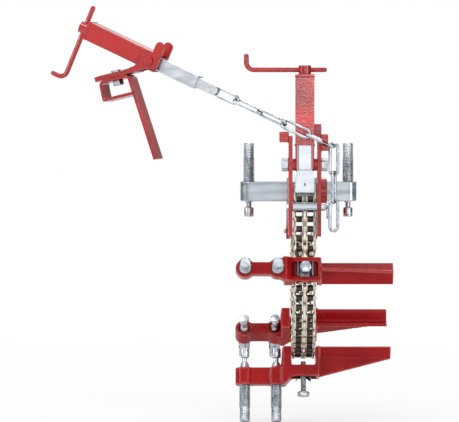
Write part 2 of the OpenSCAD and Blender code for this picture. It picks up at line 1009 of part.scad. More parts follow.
module elbow_pivot_pins() {
    color(red)
        along_pull()
            translate([0, 0, arm_pivot])
                for (side = [-1, 1])
                    rotate([side * 90, 0, 0]) {
                        translate([0, 0, tube_w / 2])
                            cylinder(h = ear_out + ear_gap - tube_w / 2, d = stub_d);
                        translate([0, 0, ear_out + ear_gap]) cylinder(h = stub_head_t, d = stub_head_d);
                    }
}

// Arm: two ears on the stubs, with prongs over the tube, and a flat bar under it
ear_r = 13;
prong_rise = 36;
prong_w = 16;
prong_back = 17;
prong_low = 10;
arm_drop = 4;
arm_t = 8;
arm_root = 27;
arm_waist = 38;
arm_half = 14;
foot_low = 11;

module ear_outline() {
    difference() {
        union() {
            circle(r = ear_r);
            rotate(arm_fold) {
                translate([-prong_back, -prong_low]) square([prong_w, prong_low + prong_rise - prong_w / 2]);
                translate([-prong_back + prong_w / 2, prong_rise - prong_w / 2]) circle(d = prong_w);
            }
            polygon([
                [0, -foot_low], [arm_root + arm_t, -foot_low], [arm_root + arm_t, -arm_drop - arm_t / 4],
                [ear_r, arm_drop], [0, 0]
            ]);
        }
        circle(d = stub_d + 2 * stub_play);
    }
}

bolt_at = 67;
hook_bolt_d = 10;

module elbow_arm() {
    color(red)
        at_arm() {
            for (y = [-ear_out, ear_in])
                translate([0, y, 0]) rotate([0, -90, -90]) linear_extrude(ear_t) ear_outline();
            translate([-arm_drop, 0, 0])
                rotate([0, -90, 0])
                    linear_extrude(arm_t)
                        difference() {
                            polygon([
                                [arm_root, -ear_out], [arm_waist, -ear_out], [arm_waist + ear_r, -arm_half],
                                [pull_arm_len - ear_r, -arm_half], [pull_arm_len, -arm_half / 2],
                                [pull_arm_len, arm_half / 2], [pull_arm_len - ear_r, arm_half],
                                [arm_waist + ear_r, arm_half], [arm_waist, ear_out], [arm_root, ear_out]
                            ]);
                            translate([bolt_at, 0]) circle(d = hook_bolt_d + 2 * stub_play);
                        }
        }
}

// Elbow hook: a strip bent to a channel, with a rest plate between its legs
strip_play = 0.3;
hook_top = -arm_drop - arm_t - strip_play;
hook_near = bolt_at - hook_run / 2;
hook_bend = 9;
leg_flare = 6;
rest_drop = 30;
rest_w = 40;

module bent_corner(turn) {
    intersection() {
        difference() {
            circle(r = hook_bend);
            circle(r = hook_bend - strip_t);
        }
        polygon([
            [0, 0], [2 * hook_bend, 0], [2 * hook_bend, 2 * hook_bend],
            [2 * hook_bend * cos(turn), 2 * hook_bend * sin(turn)]
        ]);
    }
}

module strip_outline() {
    translate([-hook_bend, hook_bend]) {
        mirror([0, 1]) bent_corner(90 - leg_flare);
        rotate(leg_flare) translate([-leg_len, -hook_bend]) square([leg_len, strip_t]);
    }
    translate([-hook_bend, hook_run - hook_bend]) bent_corner(90);
    translate([-strip_t, hook_bend]) square([strip_t, hook_run - 2 * hook_bend]);
    translate([-leg_short, hook_run - strip_t]) square([leg_short - hook_bend, strip_t]);
}

module elbow_hook() {
    color(red)
        at_arm()
            difference() {
                union() {
                    translate([hook_top, strip_w / 2, hook_near])
                        rotate([90, 0, 0]) linear_extrude(strip_w) strip_outline();
                    translate([hook_top - rest_drop - strip_t, -rest_w / 2, hook_near])
                        cube([strip_t, rest_w, hook_run - strip_t / 2]);
                }
                translate([hook_top + cut, 0, bolt_at])
                    rotate([0, -90, 0]) cylinder(h = strip_t + 2 * cut, d = hook_bolt_d + 2 * stub_play);
            }
}

// Bolt through the arm and the hook, with its nut below
nut_t = 8;
nut_at = arm_t + strip_play + strip_t + stub_play;
nut_af = 16;

module hook_bolt() {
    color(zinc)
        at_arm()
            translate([-arm_drop, 0, bolt_at])
                rotate([0, -90, 0]) {
                    translate([0, 0, -stub_play - head_t]) cylinder(h = head_t, d = nut_af);
                    translate([0, 0, -stub_play - head_t / 2])
                        cylinder(h = head_t / 2 + nut_at + 2 * stub_play + nut_t / 2, d = hook_bolt_d);
                    translate([0, 0, nut_at])
                        cylinder(h = nut_t, d = nut_af / cos(30), $fn = 6);
                }
}

chain_outer_plates();
chain_inner_plates();
chain_rollers();
chain_pins();
chain_anchor_pin();
side_plate_left();
side_plate_right();
frame_spacer();
link_hook();
blank_lug();
pivot_studs();
pivot_bushes();
screw_housing();
housing_cap();
hand_screw();
hand_lever();
draw_bar();
chain_block();
keeper_roller();
keeper_pin();
keeper_ring();
level_bar();
level_collar();
level_screw_left();
level_pad_left();
level_screw_right();
level_pad_right();
front_bar();
front_screw_far();
front_pad_far();
front_screw_near();
front_pad_near();
front_bolt();
front_clip();
bottom_bar();
bottom_screw_far();
bottom_pad_far();
bottom_screw_near();
bottom_pad_near();
bottom_bolt();
bottom_clip();
back_bar();
back_screw_far();
back_pad_far();
back_screw_near();
back_pad_near();
back_bolt();
back_clip();
elbow_tube();
elbow_cap();
elbow_screw();
elbow_lever();
elbow_draw_bar();
pull_links();
tail_links_upper();
tail_links_lower();
elbow_arm();
elbow_hook();
hook_bolt();
elbow_pivot_pins();
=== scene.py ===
"""Looks of the pipe alignment clamp, built around its fixed frame.

Lengths are in metres. The clamp's axis lies along x, z is up and the front faces -y.
"""
import json
import math

import bmesh
import bpy
from mathutils import Matrix, Vector


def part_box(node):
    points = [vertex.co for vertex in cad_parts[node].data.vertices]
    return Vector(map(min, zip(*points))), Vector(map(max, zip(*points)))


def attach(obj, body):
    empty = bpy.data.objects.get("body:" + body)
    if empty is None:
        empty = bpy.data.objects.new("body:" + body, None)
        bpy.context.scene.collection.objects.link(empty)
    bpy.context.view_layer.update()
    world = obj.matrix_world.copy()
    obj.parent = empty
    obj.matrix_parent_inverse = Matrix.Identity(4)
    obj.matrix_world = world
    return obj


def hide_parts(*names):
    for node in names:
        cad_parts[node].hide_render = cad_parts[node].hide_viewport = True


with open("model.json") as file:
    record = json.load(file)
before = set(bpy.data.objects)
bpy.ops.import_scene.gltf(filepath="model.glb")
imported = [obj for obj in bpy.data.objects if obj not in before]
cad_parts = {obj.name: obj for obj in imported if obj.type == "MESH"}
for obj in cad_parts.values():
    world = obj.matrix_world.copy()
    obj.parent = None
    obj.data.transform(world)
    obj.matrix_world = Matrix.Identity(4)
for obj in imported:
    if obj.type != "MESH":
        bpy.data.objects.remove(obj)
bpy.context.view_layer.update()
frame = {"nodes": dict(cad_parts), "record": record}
MM = 0.001
TURN = 2 * math.pi


# Materials

SHADER_SAMPLES = 4


class Nodes:
    """Short ways to add and join the nodes of one tree."""

    def __init__(self, tree):
        self.tree = tree

    def node(self, kind, **inputs):
        made = self.tree.nodes.new(kind)
        for name, value in inputs.items():
            self.set(made.inputs[name.replace("_", " ")], value)
        return made

    def set(self, socket, value):
        if isinstance(value, bpy.types.NodeSocket):
            self.tree.links.new(value, socket)
        else:
            socket.default_value = value

    def remap(self, value, low, high, to_low=0.0, to_high=1.0):
        made = self.node("ShaderNodeMapRange", Value=value, From_Min=low, From_Max=high,
                         To_Min=to_low, To_Max=to_high)
        return made.outputs["Result"]

    def calc(self, operation, *values, kind="ShaderNodeMath"):
        made = self.node(kind)
        made.operation = operation
        for socket, value in zip(made.inputs, values):
            self.set(socket, value)
        return made.outputs["Value"]

    def times(self, a, b):
        return self.calc("MULTIPLY", a, b)


class Shader(Nodes):
    """A new node material, with the patterns that the looks are made of."""

    def __init__(self, name):
        self.mat = bpy.data.materials.new(name)
        self.mat.use_nodes = True
        super().__init__(self.mat.node_tree)
        self.bsdf = self.tree.nodes["Principled BSDF"]
        self.place = self.node("ShaderNodeTexCoord").outputs["Object"]

    def finish(self, **inputs):
        for name, value in inputs.items():
            self.set(self.bsdf.inputs[name.replace("_", " ")], value)
        return self.mat

    def noise(self, scale, detail=3.0, stretch=None):
        place = self.place
        if stretch:
            place = self.node("ShaderNodeMapping", Vector=place, Scale=stretch).outputs["Vector"]
        return self.node("ShaderNodeTexNoise", Vector=place, Scale=scale, Detail=detail).outputs["Fac"]

    def mix(self, share, a, b):
        made = self.node("ShaderNodeMix")
        made.data_type = "RGBA"
        self.set(made.inputs["Factor"], share)
        self.set(made.inputs[6], a)
        self.set(made.inputs[7], b)
        return made.outputs[2]

    def edges(self, radius):
        """1 on sharp edges and corners, 0 on flat faces."""
        bent = self.round_edges(radius)
        flat = self.node("ShaderNodeNewGeometry").outputs["Normal"]
        return self.remap(self.calc("DOT_PRODUCT", bent, flat, kind="ShaderNodeVectorMath"), 0.995, 0.8)

    def ridges(self):
        """1 along the rounded ridges of a casting, 0 elsewhere."""
        return self.remap(self.node("ShaderNodeNewGeometry").outputs["Pointiness"], 0.51, 0.56)

    def hollows(self, reach):
        """1 deep in a corner or crevice, 0 in the open."""
        shade = self.node("ShaderNodeAmbientOcclusion", Distance=reach)
        shade.samples = SHADER_SAMPLES
        return self.remap(shade.outputs["AO"], 0.85, 0.25)

    def bump(self, height, strength, distance, under):
        made = self.node("ShaderNodeBump", Height=height, Strength=strength, Distance=distance, Normal=under)
        return made.outputs["Normal"]

    def round_edges(self, radius):
        made = self.node("ShaderNodeBevel", Radius=radius)
        made.samples = SHADER_SAMPLES
        return made.outputs["Normal"]


# Painted light: the tube's red is the red paint made lighter, for the light on the main tube
RED_TUBE_LIT = (0.74, 0.018, 0.014, 1)
RED = (0.46, 0.009, 0.009, 1)
RED_CAST = (0.36, 0.006, 0.008, 1)
# Deep red of the darker patches, and of the painted shade in the hollows
RED_PATCH_AND_SHADE = (0.24, 0.003, 0.006, 1)
# Pale reds of the painted highlights on sharp edges and on the ridges of castings
RED_EDGE_HIGHLIGHT = (0.62, 0.05, 0.04, 1)
RED_RIDGE_HIGHLIGHT = (0.85, 0.30, 0.26, 1)
BARE_STEEL = (0.30, 0.28, 0.27, 1)
# Near black of the painted shade in the hollows of bare metal
HOLLOW_SHADE = (0.035, 0.028, 0.022, 1)

# Scales of the noise, in cells per metre
PATCHES = 14.0
CHIPS = 420.0
SHEEN = 60.0
FINE_SKIN = 620.0
METAL_GRAIN = 90.0
CLOUDS = 35.0


def enamel(name, red, highlight_red, grain, grain_depth, gloss, coat, cast=False):
    """Glossy red enamel over steel, with painted highlights on its edges and painted shade in its hollows;
    the grain is what shows through of the metal below.
    """
    s = Shader(name)
    tone = s.mix(s.remap(s.noise(PATCHES), 0.35, 0.7), red, RED_PATCH_AND_SHADE)
    edge = s.ridges() if cast else s.edges(0.9 * MM)
    # Painted highlight: edges, or the ridges of a casting, are lightened half way toward a pale red
    tone = s.mix(s.times(edge, 0.5), tone, highlight_red)
    chips = s.times(edge, s.remap(s.noise(CHIPS, 5.0), 0.62, 0.66))
    tone = s.mix(chips, tone, BARE_STEEL)
    # Painted shade: corners and crevices are darkened toward the deep red
    tone = s.mix(s.times(s.hollows(3 * MM), 0.55), tone, RED_PATCH_AND_SHADE)
    rough = s.remap(s.noise(SHEEN, 4.0), 0.3, 0.7, 0.2, 0.34)
    skin = s.bump(s.noise(grain, 2.0), 0.8, grain_depth, s.round_edges(0.8 * MM))
    skin = s.bump(s.noise(FINE_SKIN, 2.0), 0.12, 0.05 * MM, skin)
    return s.finish(Base_Color=tone, Roughness=rough, Normal=skin, Specular_IOR_Level=gloss,
                    Coat_Weight=coat, Coat_Roughness=0.08, Coat_Normal=skin)


def bare_metal(name, light, dark, stretch, rough_low, rough_high, hollow_shade):
    """Zinc or nickel plate, or plain steel, with an even grain or one drawn out along x, and painted shade in
    its hollows.
    """
    s = Shader(name)
    grain = s.noise(METAL_GRAIN, 5.0, stretch)
    tone = s.mix(s.remap(grain, 0.3, 0.7), (*dark, 1), (*light, 1))
    cloud = s.remap(s.noise(CLOUDS, 3.0), 0.35, 0.75)
    tone = s.mix(s.times(cloud, 0.35), tone, (*dark, 1))
    # Painted shade: corners and crevices are darkened toward near black, by the share given
    tone = s.mix(s.times(s.hollows(2.5 * MM), hollow_shade), tone, HOLLOW_SHADE)
    rough = s.remap(grain, 0.3, 0.7, rough_low, rough_high)
    skin = s.bump(grain, 0.25, 0.06 * MM, s.round_edges(0.5 * MM))
    return s.finish(Base_Color=tone, Metallic=1.0, Roughness=rough, Normal=skin)


# Name, red, red of the painted highlight on edges and ridges, scale and depth of the grain, gloss, clear
# coat, and whether it is cast
ENAMELS = {
    # Painted light: a lighter copy of the red paint, for the main tube and its cap
    "lit_tube_red": ("red_enamel_lit_on_tube", RED_TUBE_LIT, RED_EDGE_HIGHLIGHT, 300.0, 0.5 * MM, 0.65, 1.0),
    "sheet_red": ("red_enamel_on_plate", RED, RED_EDGE_HIGHLIGHT, 300.0, 0.2 * MM, 0.5, 0.7),
    "cast_red": ("red_enamel_on_casting", RED_CAST, RED_RIDGE_HIGHLIGHT, 170.0, 0.5 * MM, 0.15, 0.08, True),
}
EVEN = (1, 1, 1)
DRAWN = (0.05, 1, 1)
# Name, light and dark tone, stretch of the grain, lowest and highest roughness, share of painted shade in the
# hollows
METALS = {
    "zinc": ("bright_zinc", (0.80, 0.85, 0.89), (0.44, 0.49, 0.54), EVEN, 0.2, 0.36, 0.5),
    "drawn_zinc": ("drawn_zinc_bar", (0.84, 0.88, 0.92), (0.56, 0.61, 0.66), DRAWN, 0.24, 0.42, 0.5),
    # Painted shade: a darker copy of the drawn zinc, for the level bar and the keeper roller
    "shaded_zinc": ("zinc_bar_darkened_as_shade", (0.60, 0.66, 0.71), (0.38, 0.43, 0.48), DRAWN, 0.2, 0.34, 0.5),
    "thread_zinc": ("zinc_thread", (0.80, 0.85, 0.88), (0.36, 0.41, 0.46), EVEN, 0.2, 0.36, 0.9),
    "link_zinc": ("zinc_link", (0.80, 0.84, 0.88), (0.36, 0.40, 0.45), EVEN, 0.18, 0.36, 0.8),
    # Spring steel of the clips, made darker also as painted shade of the window in each bar where the clip
    # sits
    "spring": ("spring_steel_darkened_as_shade", (0.34, 0.35, 0.37), (0.16, 0.17, 0.19), EVEN, 0.26, 0.44, 0.9),
    "chain_plate": ("nickel_chain_plate", (0.95, 0.89, 0.76), (0.62, 0.56, 0.45), EVEN, 0.26, 0.44, 0.8),
    # Near black roller steel, darkened also as painted shade of the gaps between the plates; the block's hole
    # is given it as painted shade too
    "chain_roller": ("dark_roller_steel_and_painted_shade", (0.12, 0.10, 0.085), (0.04, 0.034, 0.03), EVEN, 0.3, 0.5, 0.9),
    "chain_pin": ("chain_pin_steel", (0.52, 0.50, 0.45), (0.28, 0.26, 0.23), EVEN, 0.22, 0.4, 0.6),
}
MATS = {look: enamel(*recipe) for look, recipe in ENAMELS.items()}
MATS.update({look: bare_metal(*recipe) for look, recipe in METALS.items()})


# Mesh building

BEVEL_SEGMENTS = 2
CAST_VOXEL = 1.1 * MM
RIPPLE = 1.6 * MM
RIPPLE_ROWS = 4
BEAD_SIDES = 8
BEAD_FADE = 3


class Form:
    """Collects rings of points and turns them into one mesh piece of closed shells."""

    def __init__(self):
        self.points = []
        self.faces = []

    def rings(self, rings, place=Matrix()):
        """Joins rings of equal length with quads and caps both ends."""
        start = len(self.points)
        size = len(rings[0])
        self.points += [place @ Vector(p) for ring in rings for p in ring]
        last = start + (len(rings) - 1) * size
        for a in range(start, last, size):
            b = a + size
            self.faces += [(a + j, a + (j + 1) % size, b + (j + 1) % size, b + j) for j in range(size)]
        self.faces.append(tuple(range(start, start + size))[::-1])
        self.faces.append(tuple(range(last, last + size)))

    def piece(self, name, mat, body, slot, *nodes, sharp=35.0):
        mesh = bpy.data.meshes.new(name)
        mesh.from_pydata([tuple(p) for p in self.points], [], self.faces)
        work = bmesh.new()
        work.from_mesh(mesh)
        bmesh.ops.recalc_face_normals(work, faces=work.faces)
        work.to_mesh(mesh)
        work.free()
        mesh.materials.append(MATS[mat])
        made = bpy.data.objects.new(name, mesh)
        bpy.context.scene.collection.objects.link(made)
        mesh.shade_smooth()
        mesh.set_sharp_from_angle(angle=math.radians(sharp))
        if nodes:
            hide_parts(*nodes)
        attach(made, body)


def circle_ring(radius, z, count):
    """A ring round the z axis; the radius is a number or a function of the angle."""
    ring = []
    for k in range(count):
        a = TURN * k / count
        r = radius(a) if callable(radius) else radius
        ring.append((r * math.cos(a), r * math.sin(a), z))
    return ring


def turned(profile, sides=20):
    """Rings of a turned shape, from its profile of radii and heights."""
    return [circle_ring(radius, z, sides) for radius, z in profile]


def mirrored(profile):
    """A profile and its mirror image about height 0."""
    return profile + [(radius, -z) for radius, z in reversed(profile)]


def hexagon(across, limit=None):
    """Radius of a hexagon at an angle, cut back to a circle."""
    def radius(a):
        r = across / 2 / math.cos(a % math.radians(60) - math.radians(30))
        return min(r, limit) if limit else r
    return radius


def thread(radius, depth, pitch, z, flat=None):
    """Radius of a right-hand thread at height z, cut back to a square's flats."""
    def at(a):
        phase = (z / pitch - a / TURN) % 1.0
        r = radius - depth * abs(2 * phase - 1)
        if flat:
            r = min(r, flat / max(abs(math.cos(a)), abs(math.sin(a))))
        return r
    return at


def rod(path, radius, sides=16, dome=3):
    """Rings along a path, with domed ends."""
    rings = []
    last = len(path) - 1
    side = None
    quarter = [math.pi / 2 * k / dome for k in range(1, dome + 1)]
    for i, point in enumerate(path):
        ahead = (path[min(i + 1, last)] - path[max(i - 1, 0)]).normalized()
        if side is None:
            side = ahead.orthogonal().normalized()
        side = (side - ahead * side.dot(ahead)).normalized()
        up = ahead.cross(side)
        steps = [(0.0, 1.0)]
        if i == 0:
            steps = [(-math.cos(a), math.sin(a)) for a in quarter]
        if i == last:
            steps = [(math.cos(a), math.sin(a)) for a in reversed(quarter)]
        for along, wide in steps:
            middle = point + ahead * radius * along
            rings.append([
                middle + (side * math.cos(TURN * k / sides) + up * math.sin(TURN * k / sides)) * radius * wide
                for k in range(sides)
            ])
    return rings


def bead(form, path, radius, place=Matrix()):
    """A weld bead along a path, with the ripples that the weld pool leaves."""
    length = sum((b - a).length for a, b in zip(path, path[1:]))
    count = max(int(length / RIPPLE * RIPPLE_ROWS), RIPPLE_ROWS)
    points = []
    for k in range(count + 1):
        want = length * k / count
        for a, b in zip(path, path[1:]):
            step = (b - a).length
            if want <= step or b is path[-1]:
                points.append(a.lerp(b, min(want / step, 1.0)))
                break
            want -= step
    rings = []
    for k, point in enumerate(points):
        ahead = (points[min(k + 1, count)] - points[max(k - 1, 0)]).normalized()
        side = ahead.orthogonal().normalized()
        up = ahead.cross(side)
        fade = min(1.0, (k + 1) / BEAD_FADE, (count - k + 1) / BEAD_FADE)
        r = radius * fade * (0.88 + 0.14 * (1 - (k % RIPPLE_ROWS) / RIPPLE_ROWS))
        turns = [TURN * j / BEAD_SIDES for j in range(BEAD_SIDES)]
        rings.append([point + (side * math.cos(a) + up * math.sin(a)) * r for a in turns])
    form.rings(rings, place)


def slab(outline, low, high, rim):
    """Rings of a flat plate: an outline in y and z, thick along x, with its rims taken off."""
    middle = Vector((sum(p[0] for p in outline), sum(p[1] for p in outline))) / len(outline)
    rings = []
    for level, by in ((low, rim), (low + rim, 0.0), (high - rim, 0.0), (high, rim)):
        shrunk = [Vector(p) - (Vector(p) - middle).normalized() * by for p in outline]
        rings.append([(level, *p) for p in shrunk])
    return rings


def add_bevel(made, width):
    """Rounds the sharp edges of a piece."""
    bevel = made.modifiers.new("bevel", "BEVEL")
    bevel.width = width
    bevel.segments = BEVEL_SEGMENTS
    bevel.limit_method = "ANGLE"
    bevel.angle_limit = math.radians(35)
    bevel.use_clamp_overlap = True
    made.data.shade_smooth()
    made.data.set_sharp_from_angle(angle=math.radians(30))


def add_cast_skin(made):
    """Rounds a piece all over, as a casting is."""
    remesh = made.modifiers.new("remesh", "REMESH")
    remesh.mode = "VOXEL"
    remesh.voxel_size = CAST_VOXEL
    remesh.use_smooth_shade = True
    smooth = made.modifiers.new("smooth", "SMOOTH")
    smooth.factor = 0.5
    smooth.iterations = 8
    thin = made.modifiers.new("thin", "DECIMATE")
    thin.ratio = 0.25
    made.data.shade_smooth()


def softened(node, mat, width=None):
    """A copy of a frame node, which stands for it, with rounded edges or else a cast skin."""
    mesh = frame["nodes"][node].data.copy()
    mesh.name = node + "_rounded"
    work = bmesh.new()
    work.from_mesh(mesh)
    bmesh.ops.remove_doubles(work, verts=work.verts, dist=0.002 * MM)
    bmesh.ops.dissolve_limit(work, angle_limit=math.radians(0.6), verts=work.verts, edges=work.edges)
    work.to_mesh(mesh)
    work.free()
    mesh.materials.clear()
    mesh.materials.append(MATS[mat])
    made = bpy.data.objects.new(node + "_rounded", mesh)
    bpy.context.scene.collection.objects.link(made)
    if width:
        add_bevel(made, width)
    else:
        add_cast_skin(made)
    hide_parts(node)
    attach(made, BODY_OF[node])


BODY_OF = {
    node: body for body, nodes in frame["record"]["behaviour"]["bodies"].items() for node in nodes
}
SLOT_OF = {sub["node"]: sub["material_slot"] for sub in frame["record"]["subparts"]}


# Sizes of the frame that the detail follows

CHAIN_R = 117.65 * MM
PITCH = 15.875 * MM
STRAND_PITCH = 18.11 * MM
STRAND_LINKS = 10
ARC_LINKS = 29
LAST_PIN = STRAND_LINKS + ARC_LINKS
REST_R = 109.85 * MM
LINK_TURN = 2 * math.asin(PITCH / 2 / CHAIN_R)
# Turn of each jack bar round the clamp's axis, in degrees from the top over the front
TURNS = {"front": 78, "bottom": 165, "back": 234}
ARM_X = {"far": -96 * MM, "near": -44.5 * MM}
LEVEL_X = {"left": -89 * MM, "right": 74 * MM}
PULL_SLOPE = math.radians(24)
PULL_YAW = math.radians(20)
HOOK = Vector((31, -158.65, 235)) * MM
PULL = (Matrix.Translation(HOOK) @ Matrix.Rotation(-PULL_YAW, 4, "Z")
        @ Matrix.Rotation(PULL_SLOPE - math.pi / 2, 4, "Y"))
ARM_PIVOT = 321.9 * MM
ARM = PULL @ Matrix.Translation((0, 0, ARM_PIVOT)) @ Matrix.Rotation(math.radians(-37), 4, "Y")


def pin_place(i):
    """Where a pin of the chain sits: down the straight front strand, then round the axis."""
    turn = math.pi / 2 + max(i - STRAND_LINKS, 0) * LINK_TURN
    height = (STRAND_LINKS - i) * PITCH if i < STRAND_LINKS else CHAIN_R * math.cos(turn)
    return Vector((0, -CHAIN_R * math.sin(turn), height))


def round_axis(turn, x):
    """Places a piece drawn with z outwards from the clamp's axis."""
    return Matrix.Rotation(math.radians(turn), 4, "X") @ Matrix.Translation((x, 0, 0))


# Roller chain

PLATE_H = 15 * MM
PLATE_T = 2 * MM
PLATE_GAP = 0.1 * MM
PLATE_RIM = 0.35 * MM
WAIST = 0.16
ROLLER_W = 9.2 * MM
ROLLER_R = 5.08 * MM
ROLLER_RIM = 0.5 * MM
PIN_TIP = 19 * MM
INNER_X = ROLLER_W / 2 + PLATE_GAP
OUTER_X = STRAND_PITCH / 2 + INNER_X + PLATE_T + PLATE_GAP
MIDDLE_T = STRAND_PITCH - 2 * (INNER_X + PLATE_T + PLATE_GAP)
ALONG_X = Matrix.Rotation(math.pi / 2, 4, "Y")

# Where each plate of a link starts along the pins, and how thick it is
OUTER = [(OUTER_X, PLATE_T), (-OUTER_X - PLATE_T, PLATE_T)]
MIDDLE = [(-MIDDLE_T / 2, MIDDLE_T)]
INNER = [
    (side * STRAND_PITCH / 2 + x, PLATE_T) for side in (-1, 1) for x in (INNER_X, -INNER_X - PLATE_T)
]


def chain_outline():
    """A chain plate with a drawn-in waist, from its first pin at 0 to its second at -PITCH."""
    r = PLATE_H / 2
    arc = [math.radians(15 * k) for k in range(-5, 6)]
    waist = [(-PITCH * t, r * (1 - WAIST * math.sin(math.pi * t))) for t in (0.16, 0.33, 0.5, 0.67, 0.84)]
    points = [(r * math.cos(a), r * math.sin(a)) for a in arc]
    points += waist
    points += [(-PITCH - r * math.cos(a), r * math.sin(a)) for a in reversed(arc)]
    points += [(x, -y) for x, y in reversed(waist)]
    return points


def chain_plates(name, node, plates):
    """One piece of plates, each given by its link, its start along the pins and its thickness."""
    form = Form()
    outline = chain_outline()
    for i, low, thick in plates:
        run = pin_place(i) - pin_place(i + 1)
        place = Matrix.Translation(pin_place(i)) @ Matrix.Rotation(math.atan2(run.z, run.y), 4, "X")
        form.rings(slab(outline, low, low + thick, PLATE_RIM), place)
    form.piece(name, "chain_plate", "clamp_frame", "chain_steel", node)


def make_chain():
    # The first link hangs from the block, so it has no middle plate and no roller on its first pin
    outer = [(i, *spot) for i in range(0, LAST_PIN, 2) for spot in (OUTER + MIDDLE if i else OUTER)]
    inner = [(i, *spot) for i in range(1, LAST_PIN, 2) for spot in INNER]
    chain_plates("chain_plates_outer", "chain_outer_plates", outer)
    chain_plates("chain_plates_inner", "chain_inner_plates", inner)
    pin = turned(mirrored([
        (1.6 * MM, -PIN_TIP), (2.3 * MM, -PIN_TIP + 0.25 * MM), (2.5 * MM, -PIN_TIP + 0.8 * MM)
    ]), 14)
    roller = turned(mirrored([
        (ROLLER_R - ROLLER_RIM, -ROLLER_W / 2), (ROLLER_R, -ROLLER_W / 2 + ROLLER_RIM)
    ]))
    pins = Form()
    rollers = Form()
    for i in range(LAST_PIN):
        place = Matrix.Translation(pin_place(i)) @ ALONG_X
        pins.rings(pin, place)
        if i:
            for side in (-1, 1):
                rollers.rings(roller, place @ Matrix.Translation((0, 0, side * STRAND_PITCH / 2)))
    pins.piece("chain_pin_rivets", "chain_pin", "clamp_frame", "chain_steel", "chain_pins")
    rollers.piece("chain_roller_set", "chain_roller", "clamp_frame", "chain_steel", "chain_rollers")


# Jack screws, pads and set bolts, with heights from the clamp's axis

PAD_R = 7.7 * MM
PAD_H = 16 * MM
PAD_TOP = REST_R + PAD_H
NECK_R = 4 * MM
CONE_R = PAD_TOP + 7 * MM
SHANK_R = CONE_R + 9 * MM
SCREW_LEN = 89 * MM
SCREW_D = 19.05 * MM
SCREW_PITCH = 2.54 * MM
SCREW_ROOT = SCREW_D / 2 - 1.35 * MM
SCREW_TAPER = 1.6 * MM
DRIVE_LEN = 24 * MM
DRIVE_HALF = 8.25 * MM
ROOF = 139.05 * MM
BOLT_TIP = ROOF - 8 * MM
BOLT_LEN = 50 * MM
BOLT_R = 4.75 * MM
BOLT_PITCH = 1.6 * MM
BOLT_ROOT = BOLT_R - 0.9 * MM
BOLT_TAPER = 0.8 * MM
BOLT_AF = 17 * MM
BOLT_HEAD = 8 * MM
THREAD_SIDES = 24
THREAD_ROWS = 8
THREAD_SHARP = 50.0
HEAD_SIDES = 36


def thread_rings(radius, root, pitch, low, length, taper, drive=None):
    """Rings of a thread that fades at both ends; above the height drive it is cut square."""
    rings = []
    count = int(length / pitch * THREAD_ROWS)
    for k in range(count + 1):
        z = low + (length - taper) * k / count
        fade = min(1.0, k / THREAD_ROWS, (count - k) / THREAD_ROWS)
        crest = root + (radius - root) * max(fade, 0.1)
        flat = DRIVE_HALF if drive and z > drive else None
        rings.append(circle_ring(thread(crest, crest - root, pitch, z, flat), z, THREAD_SIDES))
    return rings


def jack_screw(name, place):
    top = SHANK_R + SCREW_LEN
    rings = turned([
        (3.4 * MM, PAD_TOP - 8.4 * MM), (NECK_R, PAD_TOP - 8 * MM), (NECK_R, CONE_R),
        (5.5 * MM, CONE_R + 0.3 * MM), (SCREW_ROOT - 0.3 * MM, SHANK_R - SCREW_TAPER)
    ], THREAD_SIDES)
    rings += thread_rings(SCREW_D / 2, SCREW_ROOT, SCREW_PITCH, SHANK_R, SCREW_LEN, SCREW_TAPER,
                          top - DRIVE_LEN)
    rings += turned([(SCREW_ROOT - 0.9 * MM, top)], THREAD_SIDES)
    form = Form()
    form.rings(rings, place)
    form.piece(name + "_threaded", "thread_zinc", name, "zinc", name, sharp=THREAD_SHARP)


def swivel_pad(name, place):
    form = Form()
    form.rings(turned([
        (5.6 * MM, REST_R), (PAD_R - 0.5 * MM, REST_R + 0.25 * MM), (PAD_R, REST_R + 0.9 * MM),
        (PAD_R, REST_R + 3 * MM), (PAD_R - 0.5 * MM, REST_R + 3.3 * MM),
        (PAD_R - 0.5 * MM, REST_R + 4.3 * MM), (PAD_R, REST_R + 4.6 * MM),
        (PAD_R, PAD_TOP - 2.6 * MM), (PAD_R - 0.6 * MM, PAD_TOP - 1.1 * MM),
        (PAD_R - 2.2 * MM, PAD_TOP - 0.2 * MM), (4.5 * MM, PAD_TOP),
        (4.1 * MM, PAD_TOP - 0.6 * MM), (4.1 * MM, PAD_TOP - 8.9 * MM)
    ], 28), place)
    form.piece(name + "_turned", "zinc", name, "zinc", name)


def hex_head(across, low, high):
    """Profile of a hexagon head with its rim turned round, over a washer face."""
    half = across / 2
    seat = low + 0.6 * MM
    chamfer = 1.3 * MM
    return [
        (half * 0.93, low), (half * 0.95, seat), (hexagon(across, half * 1.06), seat),
        (hexagon(across), seat + 0.5 * MM), (hexagon(across), high - chamfer),
        (hexagon(across, half * 1.02), high - chamfer / 4), (half * 0.9, high)
    ]


def set_bolt(name, place):
    head = BOLT_TIP + BOLT_LEN
    rings = turned([(BOLT_ROOT - BOLT_TAPER, BOLT_TIP)], THREAD_SIDES)
    rings += thread_rings(BOLT_R, BOLT_ROOT, BOLT_PITCH, BOLT_TIP + BOLT_TAPER, BOLT_LEN, BOLT_TAPER)
    form = Form()
    form.rings(rings, place)
    form.rings(turned(hex_head(BOLT_AF, head, head + BOLT_HEAD), HEAD_SIDES), place)
    form.piece(name + "_threaded", "thread_zinc", name, "zinc", name, sharp=THREAD_SHARP)


def make_screws():
    for bar, turn in TURNS.items():
        for side, x in ARM_X.items():
            jack_screw(f"{bar}_screw_{side}", round_axis(turn, x))
            swivel_pad(f"{bar}_pad_{side}", round_axis(turn, x))
        set_bolt(f"{bar}_bolt", round_axis(turn, 0))
    for side, x in LEVEL_X.items():
        jack_screw(f"level_screw_{side}", round_axis(0, x))
        swivel_pad(f"level_pad_{side}", round_axis(0, x))


# Handles, weld beads and the painted shade of the chain block's hole

